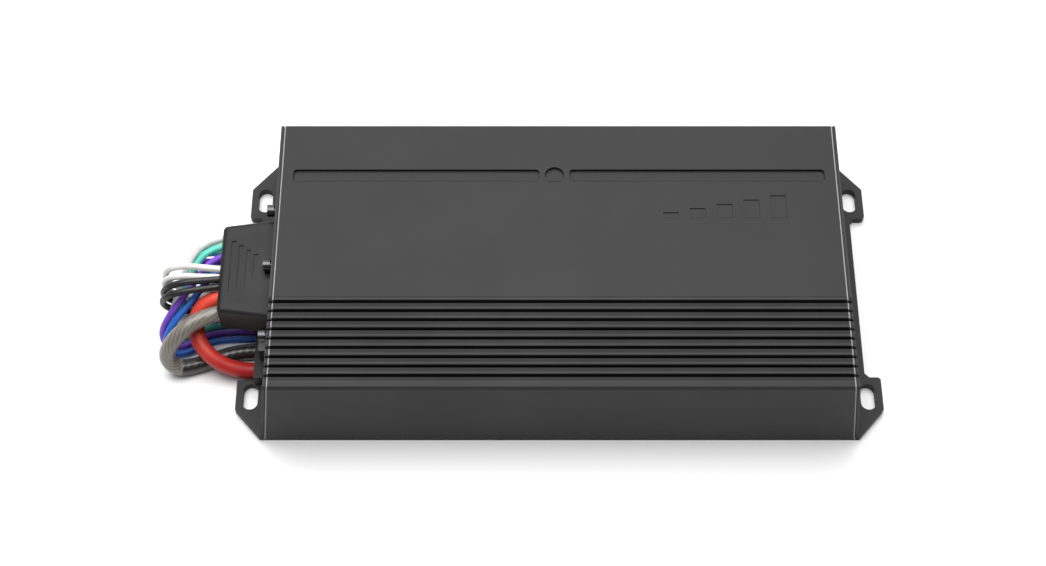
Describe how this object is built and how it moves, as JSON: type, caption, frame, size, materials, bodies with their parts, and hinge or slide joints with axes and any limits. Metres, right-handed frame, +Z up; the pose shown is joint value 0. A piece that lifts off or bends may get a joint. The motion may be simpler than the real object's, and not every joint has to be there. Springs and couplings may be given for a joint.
{
  "type": "car amplifier",
  "caption": "Low finned extruded-aluminium car audio amplifier with slotted mounting feet, flush side controls and an unpluggable wiring harness.",
  "frame": {"origin": "centre of the case's footprint, on the floor plane under the mounting feet", "axes": "+X to the right along the extrusion (the harness is at -X), +Y to the back, +Z up"},
  "size_m": [0.3229, 0.1404, 0.045],
  "materials": {
    "case_grey": "fine satin powder coat",
    "case_grey_plastic": "satin",
    "black_rubber": "matte",
    "black_steel": "black oxide",
    "bright_steel": "zinc plated",
    "brass": "bright",
    "board_green": "solder mask",
    "black_plastic": "moulded",
    "pad_grey": "matte",
    "ferrite": "matte",
    "copper": "enamelled copper wire",
    "can_sleeve": "shrink sleeve",
    "film_yellow": "moulded",
    "control_black": "moulded",
    "clear_lens": "clear",
    "tinned_copper": "tinned",
    "sheath_grey": "pvc",
    "sheath_black": "pvc",
    "sheath_white": "pvc",
    "sheath_teal": "pvc",
    "sheath_purple": "pvc",
    "sheath_blue": "pvc",
    "sheath_red": "pvc",
    "sheath_taupe": "pvc over thick strands"
  },
  "bodies": {
    "case": {"heatsink_body": "case_grey", "end_plate_left": "case_grey", "end_plate_right": "case_grey", "end_gasket_left": "black_rubber", "end_gasket_right": "black_rubber", "socket_seal": "black_rubber", "end_screws_left": "black_steel", "end_screws_right": "black_steel", "bottom_screws": "black_steel", "board_screws": "bright_steel", "clamp_screws": "bright_steel", "clamp_bar": "bright_steel", "bottom_plate": "case_grey", "board_standoffs": "brass", "circuit_board": "board_green", "transistors": "black_plastic", "thermal_pad": "pad_grey", "transformer_core": "ferrite", "transformer_winding": "copper", "bulk_capacitors": "can_sleeve", "output_inductors": "copper", "filter_capacitors": "film_yellow", "control_chips": "black_plastic", "harness_socket": "black_plastic", "socket_pins": "brass", "port_bezel": "black_plastic", "port_contacts": "brass", "pot_bodies": "black_plastic", "switch_bodies": "bright_steel", "status_lamps": "clear_lens", "lamp_carrier": "black_plastic"},
    "harness": {"harness_plug": "black_plastic", "plug_contacts": "brass", "plug_cover": "case_grey_plastic", "cover_grommet": "black_rubber", "cover_screws": "black_steel", "lead_tips": "tinned_copper", "lead_grey_a": "sheath_grey", "lead_grey_b": "sheath_grey", "lead_black_a": "sheath_black", "lead_black_b": "sheath_black", "lead_white_a": "sheath_white", "lead_teal_a": "sheath_teal", "lead_purple_a": "sheath_purple", "lead_blue": "sheath_blue", "lead_purple_b": "sheath_purple", "lead_teal_b": "sheath_teal", "lead_white_b": "sheath_white", "lead_red": "sheath_red", "lead_ground": "sheath_taupe"},
    "gain_knob": {"gain_knob": "control_black"},
    "crossover_knob": {"crossover_knob": "control_black"},
    "bass_knob": {"bass_knob": "control_black"},
    "filter_slider": {"filter_slider": "control_black"},
    "input_slider": {"input_slider": "control_black"}
  },
  "joints": [
    {"name": "gain_knob_turn", "type": "hinge", "parent": "case", "child": "gain_knob", "pos_m": [0.124, 0.038, 0.027], "axis": [1, 0, 0], "range_deg": [-140, 140]},
    {"name": "crossover_knob_turn", "type": "hinge", "parent": "case", "child": "crossover_knob", "pos_m": [0.124, 0.022, 0.027], "axis": [1, 0, 0], "range_deg": [-140, 140]},
    {"name": "bass_knob_turn", "type": "hinge", "parent": "case", "child": "bass_knob", "pos_m": [0.124, 0.006, 0.027], "axis": [1, 0, 0], "range_deg": [-140, 140]},
    {"name": "filter_slider_slide", "type": "slide", "parent": "case", "child": "filter_slider", "axis": [0, 1, 0], "range_m": [0, 0.004]},
    {"name": "input_slider_slide", "type": "slide", "parent": "case", "child": "input_slider", "axis": [0, 1, 0], "range_m": [0, 0.004]},
    {"name": "harness_unplug", "type": "slide", "parent": "case", "child": "harness", "axis": [-1, 0, 0], "range_m": [0, 0.014]}
  ]
}
